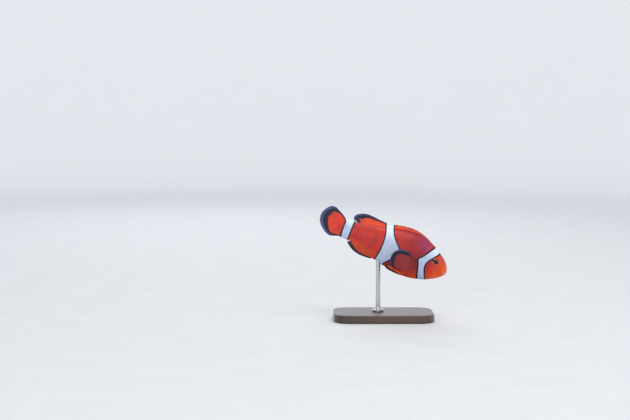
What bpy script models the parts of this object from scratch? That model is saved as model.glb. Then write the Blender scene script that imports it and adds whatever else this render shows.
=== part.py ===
"""A common clownfish (Amphiprion ocellaris), life size, swimming nose-down on a plain display stand.

The fish is built straight and level in a frame of its own: the origin is just ahead of the snout, +X
points forward, +Y to the fish's left and +Z up. pose() then swings the tail aside, tips the nose down and
lifts the fish over the stand, whose underside is centred on the world's origin.
"""

import math

import bmesh
import bpy
import numpy as np
from mathutils import Matrix, Vector

MM = 0.001
GAP = 0.3 * MM  # left between neighbours that would otherwise touch

# Pose
NOSE_DOWN = math.radians(21.4)
SNOUT_HEIGHT = 29.5 * MM
SNOUT_AHEAD = 40.0 * MM  # of the stand's centre
TAIL_SWING = 4.0 * MM  # sideways reach of the tail fin's margin, to the left
SWING_START = 20.0 * MM  # the head stays straight up to here
BODY_REACH = 86.6 * MM  # from the origin back to the tail fin's margin

# The body's sections: behind the snout, back, belly, half width; all in mm
SECTIONS = (
    (0.0, -1.0, -1.0, 0.0),  # tip of the lips
    (1.0, 2.3, -2.8, 2.1),  # mouth
    (4.0, 6.2, -5.2, 3.7),  # snout
    (9.5, 9.9, -8.4, 5.1),  # eye
    (14.0, 12.5, -10.2, 6.1),  # cheek
    (20.0, 15.0, -11.7, 6.8),  # gill cover
    (28.0, 16.1, -12.3, 6.9),  # shoulder, the deepest section
    (36.0, 15.0, -11.3, 6.2),  # belly
    (46.0, 12.7, -9.3, 4.8),  # vent
    (56.0, 10.3, -6.4, 3.2),  # soft fins
    (64.0, 8.5, -4.1, 2.1),  # tail stock
    (70.6, 8.6, -3.9, 1.2),  # root of the tail fin
)
BLUNT, BLUNT_REACH = 0.7 * MM, 3.0 * MM  # how far the tip is pushed back, and over what length that fades
WIDEST = 0.52  # height of the widest point, as a share of the depth
RING_POINTS = 28

# Where the body is parted, behind the snout
GILL_TOP = 15.5 * MM
GILL_BULGE = 6.2 * MM  # how much further back the gill opening reaches at mid height
GILL_CORE = 17.0 * MM
TRUNK_END = 64.0 * MM
STOCK_END = 70.6 * MM

# Head
EYE_BEHIND = 10.1 * MM
EYE_HEIGHT = 3.6 * MM
EYE_RADIUS = 2.9 * MM
EYE_DEPTH = 2.1 * MM  # half the eyeball's thickness
EYE_PROUD = 0.9 * MM  # how far the eyeball stands out of the cheek
MOUTH_CORNER = (-3.4 * MM, -3.3 * MM)
MOUTH_FRONT = (1.0 * MM, -0.5 * MM)
THROAT = (-8.0 * MM, -13.0 * MM)
GILL_COVER_DEPTH = 1.2 * MM
GILL_COVER_FRONT = 0.82  # share of the head's length, in the loft's own spacing
GILL_COVER_ANGLES = (0.36 * math.pi, 0.80 * math.pi)  # round from the back

# Fins
FIN_EDGE = 0.26 * MM  # half thickness of the web at the margin
FIN_RAY = 1.35  # a ray's thickness over the web's
WEB_REACH = 0.975  # the web's length between rays, over the ray's
FIN_ROWS = 4

# Stand
BASE_LENGTH = 62.0 * MM
BASE_WIDTH = 36.0 * MM
BASE_THICKNESS = 5.0 * MM
BASE_CORNER = 9.0 * MM
BASE_BEVEL = 0.7 * MM
ROD_RADIUS = 1.4 * MM
ROD_BEHIND = 42.5 * MM  # the belly point that the rod enters
ROD_IN_BODY = 5.0 * MM
FOOT_RADIUS = 3.6 * MM
FOOT_THICKNESS = 1.1 * MM
FOOT_FILLET = 1.2 * MM

# Colours, linear RGB
ORANGE = (0.62, 0.075, 0.02)
BRIGHT_ORANGE = (0.78, 0.13, 0.015)
DARK_ORANGE = (0.36, 0.035, 0.02)
WHITE = (0.66, 0.72, 0.80)
EYE_BLACK = (0.012, 0.014, 0.03)
STAND_DARK = (0.03, 0.032, 0.036)
STEEL = (0.56, 0.57, 0.58)


def clear_scene():
    for obj in list(bpy.data.objects):
        bpy.data.objects.remove(obj)


def collection(name):
    made = bpy.data.collections.new(name)
    bpy.context.scene.collection.children.link(made)
    return made


def material(name, colour, roughness, metallic=0.0):
    made = bpy.data.materials.new(name)
    made.use_nodes = True
    shader = made.node_tree.nodes["Principled BSDF"]
    shader.inputs["Base Color"].default_value = (*colour, 1)
    shader.inputs["Roughness"].default_value = roughness
    shader.inputs["Metallic"].default_value = metallic
    return made


def add_object(name, mesh, group, finish=None):
    obj = bpy.data.objects.new(name, mesh)
    group.objects.link(obj)
    if finish:
        mesh.materials.append(finish)
    return obj


def mesh_from(name, points, faces):
    """A mesh whose faces all point out."""
    bm = bmesh.new()
    verts = [bm.verts.new(p) for p in points]
    for face in faces:
        bm.faces.new([verts[i] for i in face])
    bmesh.ops.triangulate(bm, faces=bm.faces)
    bmesh.ops.recalc_face_normals(bm, faces=bm.faces)
    mesh = bpy.data.meshes.new(name)
    bm.to_mesh(mesh)
    bm.free()
    mesh.shade_smooth()
    mesh.set_sharp_from_angle(angle=math.radians(40))
    return mesh


def smooth_curve(knots):
    """The natural cubic spline through (place, value) pairs, as a function of place."""
    places, values = np.array(knots, float).T
    steps = np.diff(places)
    count = len(places)
    system = np.eye(count)
    pull = np.zeros(count)
    for i in range(1, count - 1):
        system[i, i - 1 : i + 2] = steps[i - 1], 2 * (steps[i - 1] + steps[i]), steps[i]
        rise, fall = values[i + 1] - values[i], values[i] - values[i - 1]
        pull[i] = 6 * (rise / steps[i] - fall / steps[i - 1])
    bends = np.linalg.solve(system, pull)

    def value(place):
        place = min(max(place, places[0]), places[-1])
        i = min(max(int(np.searchsorted(places, place)) - 1, 0), count - 2)
        after = (place - places[i]) / steps[i]
        before = 1 - after
        straight = before * values[i] + after * values[i + 1]
        curved = (before**3 - before) * bends[i] + (after**3 - after) * bends[i + 1]
        return straight + curved * steps[i] ** 2 / 6

    return value


def section_curve(column):
    """One column of SECTIONS over the root of the distance, which rounds the snout."""
    knots = [(math.sqrt(row[0] * MM), row[column] * MM) for row in SECTIONS]
    curve = smooth_curve(knots)
    return lambda behind: curve(math.sqrt(max(behind, 0.0)))


back_height = section_curve(1)
belly_height = section_curve(2)
half_width = section_curve(3)


def blend(start, end, share):
    return start + (end - start) * share


def ease(share):
    share = min(max(share, 0.0), 1.0)
    return share * share * (3 - 2 * share)


def skin_point(behind, around):
    """A point of the body's surface; around runs from the back (0) down the right flank to the belly (pi)."""
    back, belly = back_height(behind), belly_height(behind)
    middle = blend(belly, back, WIDEST)
    up, out = math.cos(around), math.sin(around)
    rear = ease(behind / TRUNK_END)
    keel = blend(1.0, 1.15, rear) if up > 0 else blend(0.86, 1.15, rear)
    across = -half_width(behind) * math.copysign(abs(out) ** keel, out)
    height = middle + (back - middle if up > 0 else middle - belly) * up
    return Vector((-behind - BLUNT * math.exp(-behind / BLUNT_REACH), across, height))


def skin_normal(behind, around):
    """The outward direction at skin_point."""
    step = 0.2 * MM
    along = skin_point(behind + step, around) - skin_point(behind - step, around)
    turn = step / half_width(behind)
    over = skin_point(behind, around + turn) - skin_point(behind, around - turn)
    return along.cross(over).normalized()


def around_at(behind, height):
    """The angle on the right flank at which the skin has this height."""
    back, belly = back_height(behind), belly_height(behind)
    middle = blend(belly, back, WIDEST)
    reach = back - middle if height > middle else middle - belly
    return math.acos(min(max((height - middle) / reach, -1.0), 1.0))


def gill_edge(around):
    """How far behind the snout the gill opening lies at this angle."""
    return GILL_TOP + GILL_BULGE * abs(math.sin(around)) ** 1.6


def pose(point):
    """Takes a point of the straight, level fish to its place over the stand."""
    reach = BODY_REACH - SWING_START
    share = max(0.0, -point.x - SWING_START) / reach
    aside = TAIL_SWING * share**2
    slope = 2 * TAIL_SWING * share / reach
    bent = Vector((point.x + point.y * slope, point.y + aside, point.z))
    posed = Matrix.Rotation(NOSE_DOWN, 3, "Y") @ bent
    return posed + Vector((SNOUT_AHEAD, 0, SNOUT_HEIGHT))


def ring(distance_at):
    """One section of the body, with distance_at(around) behind the snout."""
    turns = [2 * math.pi * i / RING_POINTS for i in range(RING_POINTS)]
    return [skin_point(distance_at(a), a) for a in turns]


def loft(name, rings, first_point, last_point):
    """A closed body through rings of RING_POINTS, with a fan to a point at each end."""
    points = [p for section in rings for p in section] + [first_point, last_point]
    front, rear = len(points) - 2, len(points) - 1
    last = (len(rings) - 1) * RING_POINTS
    faces = []
    for i in range(RING_POINTS):
        j = (i + 1) % RING_POINTS
        for k in range(0, last, RING_POINTS):
            faces.append((k + i, k + j, k + RING_POINTS + j, k + RING_POINTS + i))
        faces.append((front, i, j))
        faces.append((rear, last + i, last + j))
    return mesh_from(name, points, faces)


def middle_point(behind):
    return Vector((-behind, 0, blend(belly_height(behind), back_height(behind), WIDEST)))


def cut(obj, cutter, operation="DIFFERENCE"):
    boolean = obj.modifiers.new(cutter.name, "BOOLEAN")
    boolean.operation = operation
    boolean.object = cutter


def helper(name, mesh, group):
    obj = add_object(name, mesh, group)
    obj.hide_render = True
    obj.display_type = "WIRE"
    return obj


def ellipsoid(name, centre, axis, radius, depth):
    """An eyeball-like lens: round across its axis, depth along it."""
    bm = bmesh.new()
    bmesh.ops.create_uvsphere(bm, u_segments=20, v_segments=12, radius=1)
    turn = axis.to_track_quat("Z", "Y").to_matrix().to_4x4()
    size = Matrix.Diagonal((radius, radius, depth, 1))
    bm.transform(Matrix.Translation(centre) @ turn @ size)
    mesh = bpy.data.meshes.new(name)
    bm.to_mesh(mesh)
    bm.free()
    mesh.shade_smooth()
    return mesh


def eye_place(side):
    """Centre and outward axis of an eyeball; side is -1 on the right and 1 on the left."""
    around = around_at(EYE_BEHIND, EYE_HEIGHT)
    point, axis = skin_point(EYE_BEHIND, around), skin_normal(EYE_BEHIND, around)
    centre = point + axis * (EYE_PROUD - EYE_DEPTH)
    mirrored = Vector((1, -side, 1))
    return centre * mirrored, axis * mirrored


def jaw_wedge(name, gap):
    """The region below the mouth's line and ahead of the throat, grown by gap."""
    corner = (MOUTH_CORNER[0] - gap, MOUTH_CORNER[1] + gap)
    front = (MOUTH_FRONT[0], MOUTH_FRONT[1] + gap)
    throat = (THROAT[0] - gap, THROAT[1])
    below = (MOUTH_FRONT[0], THROAT[1])
    outline = (front, corner, throat, below)
    reach = SECTIONS[5][3] * MM
    points = [(x, y, z) for y in (-reach, reach) for x, z in outline]
    count = len(outline)
    faces = [tuple(range(count)), tuple(range(count, 2 * count))]
    faces += [(i, (i + 1) % count, count + (i + 1) % count, count + i) for i in range(count)]
    return mesh_from(name, points, faces)


def gill_cover_block(name, side, gap):
    """A slab that follows the cheek over the gill cover's area, grown by gap."""
    columns, rows, outside = 10, 7, 1.0 * MM
    first, last = GILL_COVER_ANGLES
    grown = gap / (SECTIONS[5][3] * MM)
    shares = np.linspace(GILL_COVER_FRONT - grown / 4, 1.08, rows)
    turns = np.linspace(first - grown, last + grown, columns)
    points = []
    for depth in (-GILL_COVER_DEPTH - gap, outside):
        for share in shares:
            for around in turns:
                behind = gill_edge(around) * share**2
                p = skin_point(behind, around) + skin_normal(behind, around) * depth
                points.append((p.x, p.y * -side, p.z))
    return mesh_from(name, points, slab_faces(rows, columns))


def slab_faces(rows, columns):
    """Faces of a slab whose points are two stacked grids of rows by columns."""
    size = rows * columns
    faces = []
    for r in range(rows - 1):
        for c in range(columns - 1):
            k = r * columns + c
            quad = (k, k + 1, k + columns + 1, k + columns)
            faces.append(quad)
            faces.append(tuple(size + i for i in quad))
    rim = list(range(columns))
    rim += [r * columns + columns - 1 for r in range(1, rows)]
    rim += [(rows - 1) * columns + c for c in range(columns - 2, -1, -1)]
    rim += [r * columns for r in range(rows - 2, 0, -1)]
    for i, k in enumerate(rim):
        m = rim[(i + 1) % len(rim)]
        faces.append((k, m, size + m, size + k))
    return faces


def fin(name, group, finish, columns, normal, root_half):
    """A thin closed fin over columns of centre-line points, each from root to margin; odd ones are web."""
    rows = len(columns[0])
    points = []
    for side in (-1, 1):
        for r in range(rows):
            for c, column in enumerate(columns):
                half = blend(root_half, FIN_EDGE, ease(1.4 * r / (rows - 1)))
                half *= FIN_RAY if c % 2 == 0 else 1.0
                points.append(column[r] + normal * (side * half))
    return add_object(name, mesh_from(name, points, slab_faces(rows, len(columns))), group, finish)


def fin_columns(rays, root_at, reach_at, bow=Vector()):
    """Columns for rays and the webs between them; root_at and reach_at give vectors over 0 to 1.

    bow is how far each column stands out of its straight line halfway along."""
    columns = []
    count = 2 * rays - 1
    for c in range(count):
        share = c / (count - 1)
        reach = reach_at(share) * (1.0 if c % 2 == 0 else WEB_REACH)
        root = root_at(share)
        places = [r / FIN_ROWS for r in range(FIN_ROWS + 1)]
        columns.append([root + reach * t + bow * (4 * t * (1 - t)) for t in places])
    return columns


def median_fin(name, group, finish, rays, base, edge, side, lengths, leans, root_half):
    """A fin on the back (side 1) or belly (side -1), over base; rays lean back from upright."""
    length_at, lean_at = smooth_curve(lengths), smooth_curve(leans)

    def root_at(share):
        behind = blend(base[0], base[1], share) * MM
        return Vector((-behind, 0, edge(behind) + side * GAP))

    def reach_at(share):
        lean = math.radians(lean_at(share))
        return Vector((-math.sin(lean), 0, side * math.cos(lean))) * length_at(share) * MM

    columns = fin_columns(rays, root_at, reach_at)
    return fin(name, group, finish, columns, Vector((0, 1, 0)), root_half)


def caudal_fin(group, finish):
    """The rounded tail fin, a fan on the end of the tail stock."""
    tilt, spread_up, spread_down = math.radians(6.5), math.radians(21.0), math.radians(27.0)
    centre, half_height = 2.35 * MM, 6.1 * MM
    length_at = smooth_curve(((0, 9.5), (0.05, 11.3), (0.125, 12.9), (0.25, 14.7), (0.5, 15.9), (0.625, 15.0),
                              (0.75, 12.8), (0.875, 9.9), (1, 6.3)))

    def place(share):
        return 1 - 2 * share

    def root_at(share):
        return Vector((-STOCK_END - GAP, 0, centre + half_height * place(share)))

    def reach_at(share):
        angle = tilt + (spread_up if share < 0.5 else spread_down) * place(share)
        return Vector((-math.cos(angle), 0, math.sin(angle))) * length_at(share) * MM

    columns = fin_columns(15, root_at, reach_at)
    fin("caudal_fin", group, finish, columns, Vector((0, 1, 0)), 0.75 * MM)


def paired_fin(name, group, finish, rays, side, root, proud, axis, up, spread, lengths, root_reach, bow):
    """A fan-shaped fin on the flank or belly. axis and up span its plane on the right side."""
    mirrored = Vector((1, -side, 1))
    around = around_at(root[0] * MM, root[1] * MM)
    behind = root[0] * MM
    centre = skin_point(behind, around) + skin_normal(behind, around) * proud * MM
    axis = Vector(axis).normalized()
    up = Vector(up)
    up = (up - axis * up.dot(axis)).normalized()
    length_at = smooth_curve(lengths)

    def root_at(share):
        return (centre + up * (1 - 2 * share) * root_reach * MM) * mirrored

    def reach_at(share):
        angle = math.radians(blend(spread[0], spread[1], share))
        return (axis * math.cos(angle) + up * math.sin(angle)) * length_at(share) * MM * mirrored

    outward = up.cross(axis) * mirrored
    columns = fin_columns(rays, root_at, reach_at, outward * bow * MM)
    fin(name, group, finish, columns, outward, 0.40 * MM)


def add_head(group, helpers, finishes):
    """The head, parted from its lower jaw and gill covers, with a socket for each eye."""
    shares = np.linspace(0, 1, 13)[1:]
    rings = [ring(lambda a, s=s: gill_edge(a) * s**2) for s in shares]
    whole = loft("head", rings, skin_point(0, 0), middle_point(GILL_CORE))
    head = add_object("head", whole, group, finishes["skin"])
    jaw = add_object("lower_jaw", whole.copy(), group)
    cut(jaw, helper("jaw_region", jaw_wedge("jaw_region", 0), helpers), "INTERSECT")
    cut(head, helper("jaw_space", jaw_wedge("jaw_space", GAP), helpers))
    for side, word in ((-1, "right"), (1, "left")):
        cover = add_object(f"gill_cover_{word}", whole.copy(), group)
        region = gill_cover_block(f"cover_region_{word}", side, 0)
        cut(cover, helper(region.name, region, helpers), "INTERSECT")
        space = gill_cover_block(f"cover_space_{word}", side, GAP)
        cut(head, helper(space.name, space, helpers))
        centre, axis = eye_place(side)
        eye = ellipsoid(f"eye_{word}", centre, axis, EYE_RADIUS, EYE_DEPTH)
        add_object(eye.name, eye, group, finishes["eye"])
        socket = ellipsoid(f"socket_{word}", centre, axis, EYE_RADIUS + GAP, EYE_DEPTH + GAP)
        cut(head, helper(socket.name, socket, helpers))


def add_trunk(group, finish):
    shares = np.linspace(0, 1, 11)
    rings = [ring(lambda a, s=s: blend(gill_edge(a) + GAP, TRUNK_END, s)) for s in shares]
    ends = middle_point(GILL_CORE + GAP), middle_point(TRUNK_END)
    return add_object("trunk", loft("trunk", rings, *ends), group, finish)


def add_tail_stock(group, finish):
    start = TRUNK_END + GAP
    rings = [ring(lambda a, d=d: d) for d in np.linspace(start, STOCK_END, 5)]
    ends = middle_point(start), middle_point(STOCK_END)
    add_object("tail_stock", loft("tail_stock", rings, *ends), group, finish)


def add_fins(group, finishes):
    bright, dark = finishes["fin"], finishes["pectoral"]
    spiny_lengths = ((0, 0.9), (0.2, 2.4), (0.5, 2.8), (0.8, 2.5), (1, 2.4))
    median_fin("dorsal_fin_spiny", group, bright, 11, (17.0, 42.6), back_height, 1,
               spiny_lengths, ((0, 58), (0.5, 62), (1, 62)), 0.75 * MM)
    soft_lengths = ((0, 2.0), (0.25, 3.9), (0.5, 6.5), (0.65, 7.2), (0.8, 6.8), (0.9, 5.5), (1, 2.6))
    median_fin("dorsal_fin_soft", group, bright, 14, (43.4, 63.7), back_height, 1,
               soft_lengths, ((0, 52), (0.5, 46), (0.8, 54), (1, 72)), 0.75 * MM)
    anal_lengths = ((0, 1.4), (0.25, 3.7), (0.5, 4.6), (0.8, 3.8), (1, 2.3))
    median_fin("anal_fin", group, bright, 13, (47.5, 63.2), belly_height, -1,
               anal_lengths, ((0, 60), (0.5, 60), (1, 70)), 0.75 * MM)
    caudal_fin(group, bright)
    for side, word in ((-1, "right"), (1, "left")):
        paired_fin(f"pectoral_fin_{word}", group, dark, 16, side, (23.4, -3.4), 0.95,
                   (-1, -0.46, 0.0), (0, -0.2, 1), (42, -23),
                   ((0, 8.6), (0.25, 13.8), (0.5, 16.1), (0.75, 14.7), (0.9, 12.5), (1, 9.6)), 2.0, 0.8)
        paired_fin(f"pelvic_fin_{word}", group, bright, 6, side, (25.6, -10.9), 0.85,
                   (-1, -0.16, 0.15), (0.1, -0.62, 0.78), (9, -8),
                   ((0, 11.0), (0.4, 13.4), (1, 10.6)), 0.7, 0.3)


def add_base(group, finish):
    """A flat plate with round corners; its underside is the model's flat face."""
    bm = bmesh.new()
    bmesh.ops.create_cube(bm, size=1)
    size = Matrix.Diagonal((BASE_LENGTH, BASE_WIDTH, BASE_THICKNESS, 1))
    bm.transform(Matrix.Translation((0, 0, BASE_THICKNESS / 2)) @ size)
    upright = [e for e in bm.edges if abs(e.verts[0].co.z - e.verts[1].co.z) > BASE_THICKNESS / 2]
    bmesh.ops.bevel(bm, geom=upright, offset=BASE_CORNER, segments=8, profile=0.5, affect="EDGES")
    mesh = bpy.data.meshes.new("stand_base")
    bm.to_mesh(mesh)
    bm.free()
    base = add_object("stand_base", mesh, group, finish)
    bevel = base.modifiers.new("soft_edges", "BEVEL")
    bevel.width = BASE_BEVEL
    bevel.segments = 3
    bevel.limit_method = "ANGLE"
    bevel.angle_limit = math.radians(60)


def add_rod(group, helpers, finish, trunk):
    """An upright rod with a round foot, let into the belly."""
    entry = pose(Vector((-ROD_BEHIND, 0, belly_height(ROD_BEHIND))))
    top, foot = entry.z + ROD_IN_BODY, BASE_THICKNESS + GAP
    profile = [(0, top), (ROD_RADIUS, top)]
    for i in range(7):
        turn = math.pi / 2 * i / 6
        out = ROD_RADIUS + FOOT_FILLET * (1 - math.cos(turn))
        profile.append((out, foot + FOOT_THICKNESS + FOOT_FILLET * (1 - math.sin(turn))))
    profile += [(FOOT_RADIUS, foot + FOOT_THICKNESS), (FOOT_RADIUS, foot), (0, foot)]
    mesh = bpy.data.meshes.new("stand_rod")
    edges = [(i, i + 1) for i in range(len(profile) - 1)]
    mesh.from_pydata([(r, 0, z) for r, z in profile], edges, [])
    rod = add_object("stand_rod", mesh, group, finish)
    rod.location = (entry.x, entry.y, 0)
    screw = rod.modifiers.new("turned", "SCREW")
    screw.steps = screw.render_steps = 24
    screw.use_merge_vertices = True
    screw.merge_threshold = 0.00001
    bm = bmesh.new()
    bmesh.ops.create_cone(bm, cap_ends=True, segments=24, radius1=ROD_RADIUS + GAP,
                          radius2=ROD_RADIUS + GAP, depth=2 * (ROD_IN_BODY + GAP))
    bm.transform(Matrix.Translation(entry))
    hole = bpy.data.meshes.new("rod_hole")
    bm.to_mesh(hole)
    bm.free()
    cut(trunk, helper("rod_hole", hole, helpers))


def settle(obj):
    """Applies an object's modifiers, cuts its flat faces into triangles and poses its points."""
    graph = bpy.context.evaluated_depsgraph_get()
    mesh = bpy.data.meshes.new_from_object(obj.evaluated_get(graph))
    bm = bmesh.new()
    bm.from_mesh(mesh)
    bmesh.ops.triangulate(bm, faces=bm.faces)
    for vert in bm.verts:
        vert.co = pose(vert.co)
    bm.to_mesh(mesh)
    bm.free()
    obj.modifiers.clear()
    obj.data = mesh


def main():
    clear_scene()
    fish, helpers = collection("clownfish"), collection("cutters")
    stand = collection("display_stand")
    finishes = {
        "skin": material("skin", ORANGE, 0.35),
        "fin": material("fin", BRIGHT_ORANGE, 0.35),
        "pectoral": material("pectoral", DARK_ORANGE, 0.35),
        "bar": material("bar", WHITE, 0.35),
        "eye": material("eye", EYE_BLACK, 0.08),
        "base": material("base", STAND_DARK, 0.4),
        "rod": material("rod", STEEL, 0.3, metallic=1.0),
    }
    add_head(fish, helpers, finishes)
    trunk = add_trunk(fish, finishes["skin"])
    add_tail_stock(fish, finishes["bar"])
    add_fins(fish, finishes)
    for obj in list(fish.objects):
        settle(obj)
    for cutter in list(helpers.objects):
        bpy.data.objects.remove(cutter)
    add_base(stand, finishes["base"])
    add_rod(stand, helpers, finishes["rod"], trunk)


main()
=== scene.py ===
"""A clownfish on its display stand: one skin over body and fins, a coat of scales, eyes and the studio.

The fish is shaped straight and level in millimetres, in a frame of its own: the origin is just ahead of
the snout, +X points forward, +Y to the fish's left and +Z up. pose() takes it to its place over the stand.
"""

import math
from functools import partial

import bmesh
import bpy
import numpy as np
from mathutils import Matrix, Vector
from mathutils.kdtree import KDTree


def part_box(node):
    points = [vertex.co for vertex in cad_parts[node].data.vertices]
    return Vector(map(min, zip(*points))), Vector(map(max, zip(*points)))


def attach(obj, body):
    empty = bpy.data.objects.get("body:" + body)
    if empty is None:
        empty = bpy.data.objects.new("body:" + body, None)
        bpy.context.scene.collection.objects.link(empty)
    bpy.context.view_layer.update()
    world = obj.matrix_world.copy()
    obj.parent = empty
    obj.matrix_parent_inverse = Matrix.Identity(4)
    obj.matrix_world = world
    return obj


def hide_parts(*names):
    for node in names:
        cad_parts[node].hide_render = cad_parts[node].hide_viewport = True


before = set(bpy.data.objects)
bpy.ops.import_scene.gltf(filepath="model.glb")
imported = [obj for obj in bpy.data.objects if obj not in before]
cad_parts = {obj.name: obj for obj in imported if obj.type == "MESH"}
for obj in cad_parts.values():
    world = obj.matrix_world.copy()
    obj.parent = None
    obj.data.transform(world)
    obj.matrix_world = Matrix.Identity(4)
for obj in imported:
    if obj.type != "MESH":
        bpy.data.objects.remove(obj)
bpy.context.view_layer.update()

MM = 0.001
FAR = -9.0  # a signed distance well outside any marking

# Pose
NOSE_DOWN = math.radians(21.4)
SNOUT_PLACE = (0.040, 0.0, 0.0295)
TAIL_SWING = 4.0
SWING_START = 20.0
BODY_REACH = 86.6

# The body's sections: behind the snout, back, belly, half width
SECTIONS = (
    (0.0, -1.0, -1.0, 0.0),  # tip of the lips
    (1.0, 2.3, -2.8, 2.1),  # mouth
    (4.0, 6.2, -5.2, 3.7),  # snout
    (9.5, 9.9, -8.4, 5.1),  # eye
    (14.0, 12.5, -10.2, 6.1),  # cheek
    (20.0, 15.0, -11.7, 6.8),  # gill cover
    (28.0, 16.1, -12.3, 6.9),  # shoulder
    (36.0, 15.0, -11.3, 6.2),  # belly
    (46.0, 12.7, -9.3, 4.8),  # vent
    (56.0, 10.3, -6.4, 3.2),  # soft fins
    (64.0, 8.5, -4.1, 2.1),  # tail stock
    (70.6, 8.6, -3.9, 1.2),  # root of the tail fin
    (75.0, 8.0, -3.2, 0.25),  # inside the tail fin
)
WIDEST = 0.52
KEEL_FULL = 64.0
GILL_TOP, GILL_BULGE = 15.5, 6.2
BODY_END = 75.0
BLUNT, BLUNT_REACH = 0.7, 3.0  # how far the tip is pushed back, and over what length that fades
# The body's edges are black round the tail's root, as the fin's are: its place, its reach and the width
TAIL_ROOT, TAIL_ROOT_REACH, TAIL_EDGE = -70.3, 1.1, 0.9
COAT = 0.14  # the skin lies this far inside the solids, and the scales fill it

# The body's mesh: points round it, and rows from the snout to the gill edge and on to the tail
AROUND, HEAD_ROWS, TRUNK_ROWS = 200, 140, 96
FIRST_ROW = 0.0012  # the share of the trunk at its first row, just under the gill edge

# Eye
EYE_BEHIND, EYE_HEIGHT = 10.1, 3.6
EYE_RADIUS, EYE_DEPTH, EYE_PROUD = 2.9, 2.1, 0.9
EYE_OPENING = 2.42
PUPIL_WIDTH, PUPIL_HEIGHT = 1.85, 1.40  # half sizes
SOCKET_GAP = 0.05


# ---------------- curves and surfaces


def spline(knots):
    """The natural cubic spline through (place, value) pairs, as a function of an array of places."""
    places, values = np.array(sorted(knots), float).T
    steps = np.diff(places)
    count = len(places)
    system, pull = np.eye(count), np.zeros(count)
    for i in range(1, count - 1):
        system[i, i - 1 : i + 2] = steps[i - 1], 2 * (steps[i - 1] + steps[i]), steps[i]
        rise, fall = values[i + 1] - values[i], values[i] - values[i - 1]
        pull[i] = 6 * (rise / steps[i] - fall / steps[i - 1])
    bends = np.linalg.solve(system, pull)

    def value(place):
        place = np.clip(place, places[0], places[-1])
        i = np.clip(np.searchsorted(places, place) - 1, 0, count - 2)
        after = (place - places[i]) / steps[i]
        before = 1 - after
        curved = (before**3 - before) * bends[i] + (after**3 - after) * bends[i + 1]
        return before * values[i] + after * values[i + 1] + curved * steps[i] ** 2 / 6

    return value


def ramp(value, start, end):
    """0 at start, 1 at end, eased between them."""
    share = np.clip((np.asarray(value, float) - start) / (end - start), 0, 1)
    return share * share * (3 - 2 * share)


def hump(value, width):
    return np.exp(-np.square(value / width))


def unit(vectors):
    return vectors / np.maximum(np.linalg.norm(vectors, axis=-1, keepdims=True), 1e-9)


def section_curve(column):
    """One column of SECTIONS over the root of the distance, which rounds the snout."""
    curve = spline([(math.sqrt(row[0]), row[column]) for row in SECTIONS])
    return lambda behind: curve(np.sqrt(np.maximum(behind, 0)))


back_height, belly_height, half_width = section_curve(1), section_curve(2), section_curve(3)


def section_heights(behind):
    """The back's height, the belly's, and that of the widest place between them."""
    back, belly = back_height(behind), belly_height(behind)
    return back, belly, belly + (back - belly) * WIDEST


def plain_skin(behind, around):
    """Points of the solids' surface; around runs from the back, 0, by the right flank to the belly, pi."""
    behind, around = np.broadcast_arrays(np.asarray(behind, float), np.asarray(around, float))
    back, belly, middle = section_heights(behind)
    up, out = np.cos(around), np.sin(around)
    rear = ramp(behind, 0, KEEL_FULL)
    keel = np.where(up > 0, 1 + 0.15 * rear, 0.86 + 0.29 * rear)
    across = -half_width(behind) * np.sign(out) * np.abs(out) ** keel
    height = middle + np.where(up > 0, back - middle, middle - belly) * up
    return np.stack([-behind - BLUNT * np.exp(-behind / BLUNT_REACH), across, height], -1)


def skin_normal(behind, around):
    step = 0.02 + 0.02 * np.asarray(behind, float)
    along = plain_skin(behind + step, around) - plain_skin(behind - step, around)
    over = plain_skin(behind, around + 0.01) - plain_skin(behind, around - 0.01)
    return unit(np.cross(along, over))


def around_at(behind, height):
    """The angle on the right flank at which the skin has this height."""
    back, belly, middle = section_heights(behind)
    reach = np.where(height > middle, back - middle, middle - belly)
    return np.arccos(np.clip((height - middle) / reach, -1, 1))


def gill_edge(around):
    return GILL_TOP + GILL_BULGE * np.abs(np.sin(around)) ** 1.6


def nearest_on(line, points):
    """Distance from each point to a polyline, and how far along it, 0 to 1, the nearest place is."""
    line, points = np.asarray(line, float), np.asarray(points, float)
    lengths = np.linalg.norm(np.diff(line, axis=0), axis=1)
    passed = np.concatenate([[0], np.cumsum(lengths)])
    best, place = np.full(len(points), np.inf), np.zeros(len(points))
    for i, (start, end) in enumerate(zip(line[:-1], line[1:])):
        reach = end - start
        share = np.clip((points - start) @ reach / (reach @ reach), 0, 1)
        gap = np.linalg.norm(points - start - share[:, None] * reach, axis=1)
        nearer = gap < best
        best = np.where(nearer, gap, best)
        place = np.where(nearer, (passed[i] + share * lengths[i]) / passed[-1], place)
    return best, place


def smooth_line(knots, count=40):
    """Points along a smooth curve through 2-D knots."""
    knots = np.array(knots, float)
    steps = np.concatenate([[0], np.cumsum(np.linalg.norm(np.diff(knots, axis=0), axis=1))])
    at = np.linspace(0, steps[-1], count)
    return np.stack([spline(list(zip(steps, knots[:, i])))(at) for i in range(knots.shape[1])], -1)


def pose(points):
    """Takes straight, level points in millimetres to their place over the stand, in metres."""
    x, y, z = np.asarray(points, float).T
    reach = BODY_REACH - SWING_START
    share = np.maximum(0, -x - SWING_START) / reach
    slope = 2 * TAIL_SWING * share / reach
    bent = np.stack([x + y * slope, y + TAIL_SWING * share**2, z], -1)
    tilt = np.array(Matrix.Rotation(NOSE_DOWN, 3, "Y"))
    return bent @ tilt.T * MM + np.array(SNOUT_PLACE)


# ---------------- markings

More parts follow.
